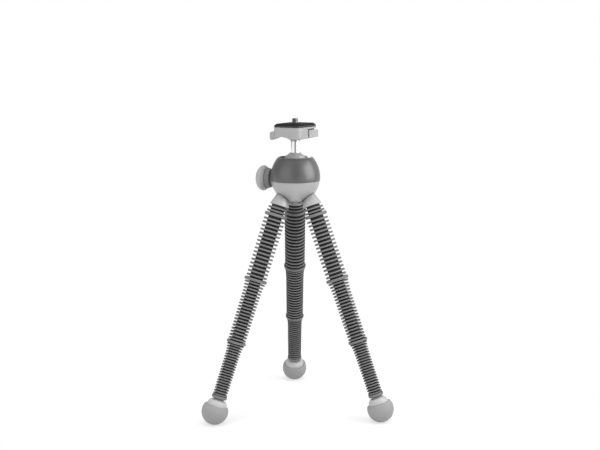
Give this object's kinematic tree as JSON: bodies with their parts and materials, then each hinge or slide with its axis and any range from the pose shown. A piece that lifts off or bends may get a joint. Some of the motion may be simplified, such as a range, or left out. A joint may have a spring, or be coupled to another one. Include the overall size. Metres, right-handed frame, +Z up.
{
  "type": "flexible leg tripod",
  "caption": "Small camera tripod with bendable ribbed rubber legs, ball feet, a ball head with a side lock knob and a quick release plate.",
  "frame": {"origin": "on the floor, under the middle of the ball head", "axes": "+Z up through the ball head and its stem; +Y towards the rear leg; +X to the right as seen in the picture"},
  "size_m": [0.194, 0.1716, 0.3037],
  "materials": {
    "leg_rubber": "matt moulded dark grey rubber",
    "boot_rubber": "matt mid grey rubber",
    "cap_plastic": "light grey satin plastic",
    "wire_metal": "plain drawn wire",
    "hub_metal": "light grey satin die casting",
    "bowl_metal": "silver grey satin",
    "shell_plastic": "dark grey satin",
    "ball_metal": "satin turned metal",
    "stem_metal": "polished",
    "seat_plastic": "natural nylon",
    "shoe_brass": "plain turned brass",
    "screw_steel": "plain steel",
    "grip_rubber": "mid grey rubbery grip",
    "knob_plastic": "silver grey satin plastic",
    "clamp_metal": "silver grey satin",
    "button_plastic": "light grey plastic",
    "plate_metal": "dark grey anodised",
    "pad_rubber": "matt black rubber"
  },
  "bodies": {
    "housing": {"hub_casting": "hub_metal", "hub_bolt": "screw_steel", "lower_bowl": "bowl_metal", "upper_shell": "shell_plastic", "rear_wire_core": "wire_metal", "left_wire_core": "wire_metal", "right_wire_core": "wire_metal"},
    "shoe": {"brake_shoe": "shoe_brass"},
    "lock": {"lock_screw": "screw_steel", "knob_grip": "grip_rubber", "knob_cap": "knob_plastic"},
    "socket": {"ball_seat": "seat_plastic"},
    "ball": {"pivot_ball": "ball_metal"},
    "platform": {"stem_post": "stem_metal", "clamp_body": "clamp_metal", "clamp_screw": "screw_steel", "button_spring": "screw_steel"},
    "button": {"release_button": "button_plastic"},
    "plate": {"release_plate": "plate_metal", "plate_pad": "pad_rubber"},
    "camera_screw": {"camera_screw": "screw_steel"},
    "rear_root": {"rear_root_bellows": "leg_rubber", "rear_root_sleeve": "leg_rubber"},
    "rear_upper": {"rear_swing_bellows": "leg_rubber", "rear_upper_sleeve": "leg_rubber"},
    "rear_middle": {"rear_knee_bellows": "leg_rubber", "rear_middle_sleeve": "leg_rubber"},
    "rear_shin": {"rear_side_bellows": "leg_rubber", "rear_shin_sleeve": "leg_rubber"},
    "rear_lower": {"rear_ankle_bellows": "leg_rubber", "rear_lower_sleeve": "leg_rubber", "rear_foot_cap": "cap_plastic", "rear_foot_boot": "boot_rubber"},
    "left_root": {"left_root_bellows": "leg_rubber", "left_root_sleeve": "leg_rubber"},
    "left_upper": {"left_swing_bellows": "leg_rubber", "left_upper_sleeve": "leg_rubber"},
    "left_middle": {"left_knee_bellows": "leg_rubber", "left_middle_sleeve": "leg_rubber"},
    "left_shin": {"left_side_bellows": "leg_rubber", "left_shin_sleeve": "leg_rubber"},
    "left_lower": {"left_ankle_bellows": "leg_rubber", "left_lower_sleeve": "leg_rubber", "left_foot_cap": "cap_plastic", "left_foot_boot": "boot_rubber"},
    "right_root": {"right_root_bellows": "leg_rubber", "right_root_sleeve": "leg_rubber"},
    "right_upper": {"right_swing_bellows": "leg_rubber", "right_upper_sleeve": "leg_rubber"},
    "right_middle": {"right_knee_bellows": "leg_rubber", "right_middle_sleeve": "leg_rubber"},
    "right_shin": {"right_side_bellows": "leg_rubber", "right_shin_sleeve": "leg_rubber"},
    "right_lower": {"right_ankle_bellows": "leg_rubber", "right_lower_sleeve": "leg_rubber", "right_foot_cap": "cap_plastic", "right_foot_boot": "boot_rubber"}
  },
  "joints": [
    {"name": "shoe_slide", "type": "slide", "parent": "housing", "child": "shoe", "axis": [-0.9304, 0.3665, 0], "range_m": [0, 0.00075]},
    {"name": "lock_turn", "type": "hinge", "parent": "shoe", "child": "lock", "pos_m": [0, 0, 0.24198], "axis": [-0.9304, 0.3665, 0], "range_deg": [0, 272]},
    {"name": "ball_pan", "type": "hinge", "parent": "housing", "child": "socket", "pos_m": [0, 0, 0.24998], "axis": [0, 0, 1], "range_deg": [-360, 360]},
    {"name": "ball_tilt", "type": "hinge", "parent": "socket", "child": "ball", "pos_m": [0, 0, 0.24998], "axis": [0.4772, -0.8788, 0], "range_deg": [-88, 30]},
    {"name": "ball_spin", "type": "hinge", "parent": "ball", "child": "platform", "pos_m": [0, 0, 0.24998], "axis": [0, 0, 1], "continuous": true},
    {"name": "button_press", "type": "slide", "parent": "platform", "child": "button", "axis": [-0.8339, 0.5519, 0], "range_m": [0, 0.0012], "stiffness_N_per_m": 600, "springref_m": -0.002, "deforming": ["button_spring"]},
    {"name": "plate_slide", "type": "slide", "parent": "platform", "child": "plate", "axis": [0.5519, 0.8339, 0], "range_m": [0, 0.012]},
    {"name": "camera_screw_turn", "type": "hinge", "parent": "plate", "child": "camera_screw", "pos_m": [0, 0, 0.29873], "axis": [0, 0, 1], "continuous": true},
    {"name": "rear_splay", "type": "hinge", "parent": "housing", "child": "rear_root", "pos_m": [0, 0.0235, 0.20648], "axis": [1, 0, 0], "range_deg": [-20, 60], "deforming": ["rear_root_bellows", "rear_wire_core"]},
    {"name": "rear_swing", "type": "hinge", "parent": "rear_root", "child": "rear_upper", "pos_m": [0, 0.0309, 0.18691], "axis": [0, 0.9354, 0.3535], "range_deg": [-45, 45], "deforming": ["rear_swing_bellows", "rear_wire_core"]},
    {"name": "rear_knee", "type": "hinge", "parent": "rear_upper", "child": "rear_middle", "pos_m": [0, 0.04768, 0.1425], "axis": [-1, 0, 0], "range_deg": [-50, 50], "deforming": ["rear_knee_bellows", "rear_wire_core"]},
    {"name": "rear_side", "type": "hinge", "parent": "rear_middle", "child": "rear_shin", "pos_m": [0, 0.05581, 0.12099], "axis": [0, 0.9354, 0.3535], "range_deg": [-45, 45], "deforming": ["rear_side_bellows", "rear_wire_core"]},
    {"name": "rear_ankle", "type": "hinge", "parent": "rear_shin", "child": "rear_lower", "pos_m": [0, 0.0709, 0.08104], "axis": [-1, 0, 0], "range_deg": [-50, 50], "deforming": ["rear_ankle_bellows", "rear_wire_core"]},
    {"name": "left_splay", "type": "hinge", "parent": "housing", "child": "left_root", "pos_m": [-0.02035, -0.01175, 0.20648], "axis": [-0.5, 0.866, 0], "range_deg": [-20, 60], "deforming": ["left_root_bellows", "left_wire_core"]},
    {"name": "left_swing", "type": "hinge", "parent": "left_root", "child": "left_upper", "pos_m": [-0.02676, -0.01545, 0.18691], "axis": [-0.8101, -0.4677, 0.3535], "range_deg": [-45, 45], "deforming": ["left_swing_bellows", "left_wire_core"]},
    {"name": "left_knee", "type": "hinge", "parent": "left_upper", "child": "left_middle", "pos_m": [-0.04129, -0.02384, 0.1425], "axis": [0.5, -0.866, 0], "range_deg": [-50, 50], "deforming": ["left_knee_bellows", "left_wire_core"]},
    {"name": "left_side", "type": "hinge", "parent": "left_middle", "child": "left_shin", "pos_m": [-0.04833, -0.0279, 0.12099], "axis": [-0.8101, -0.4677, 0.3535], "range_deg": [-45, 45], "deforming": ["left_side_bellows", "left_wire_core"]},
    {"name": "left_ankle", "type": "hinge", "parent": "left_shin", "child": "left_lower", "pos_m": [-0.0614, -0.03545, 0.08104], "axis": [0.5, -0.866, 0], "range_deg": [-50, 50], "deforming": ["left_ankle_bellows", "left_wire_core"]},
    {"name": "right_splay", "type": "hinge", "parent": "housing", "child": "right_root", "pos_m": [0.02035, -0.01175, 0.20648], "axis": [-0.5, -0.866, 0], "range_deg": [-20, 60], "deforming": ["right_root_bellows", "right_wire_core"]},
    {"name": "right_swing", "type": "hinge", "parent": "right_root", "child": "right_upper", "pos_m": [0.02676, -0.01545, 0.18691], "axis": [0.8101, -0.4677, 0.3535], "range_deg": [-45, 45], "deforming": ["right_swing_bellows", "right_wire_core"]},
    {"name": "right_knee", "type": "hinge", "parent": "right_upper", "child": "right_middle", "pos_m": [0.04129, -0.02384, 0.1425], "axis": [0.5, 0.866, 0], "range_deg": [-50, 50], "deforming": ["right_knee_bellows", "right_wire_core"]},
    {"name": "right_side", "type": "hinge", "parent": "right_middle", "child": "right_shin", "pos_m": [0.04833, -0.0279, 0.12099], "axis": [0.8101, -0.4677, 0.3535], "range_deg": [-45, 45], "deforming": ["right_side_bellows", "right_wire_core"]},
    {"name": "right_ankle", "type": "hinge", "parent": "right_shin", "child": "right_lower", "pos_m": [0.0614, -0.03545, 0.08104], "axis": [0.5, 0.866, 0], "range_deg": [-50, 50], "deforming": ["right_ankle_bellows", "right_wire_core"]}
  ],
  "couplings": [
    {"joint": "lock_turn", "follows": "shoe_slide", "rad_per_m": 6283.2}
  ]
}
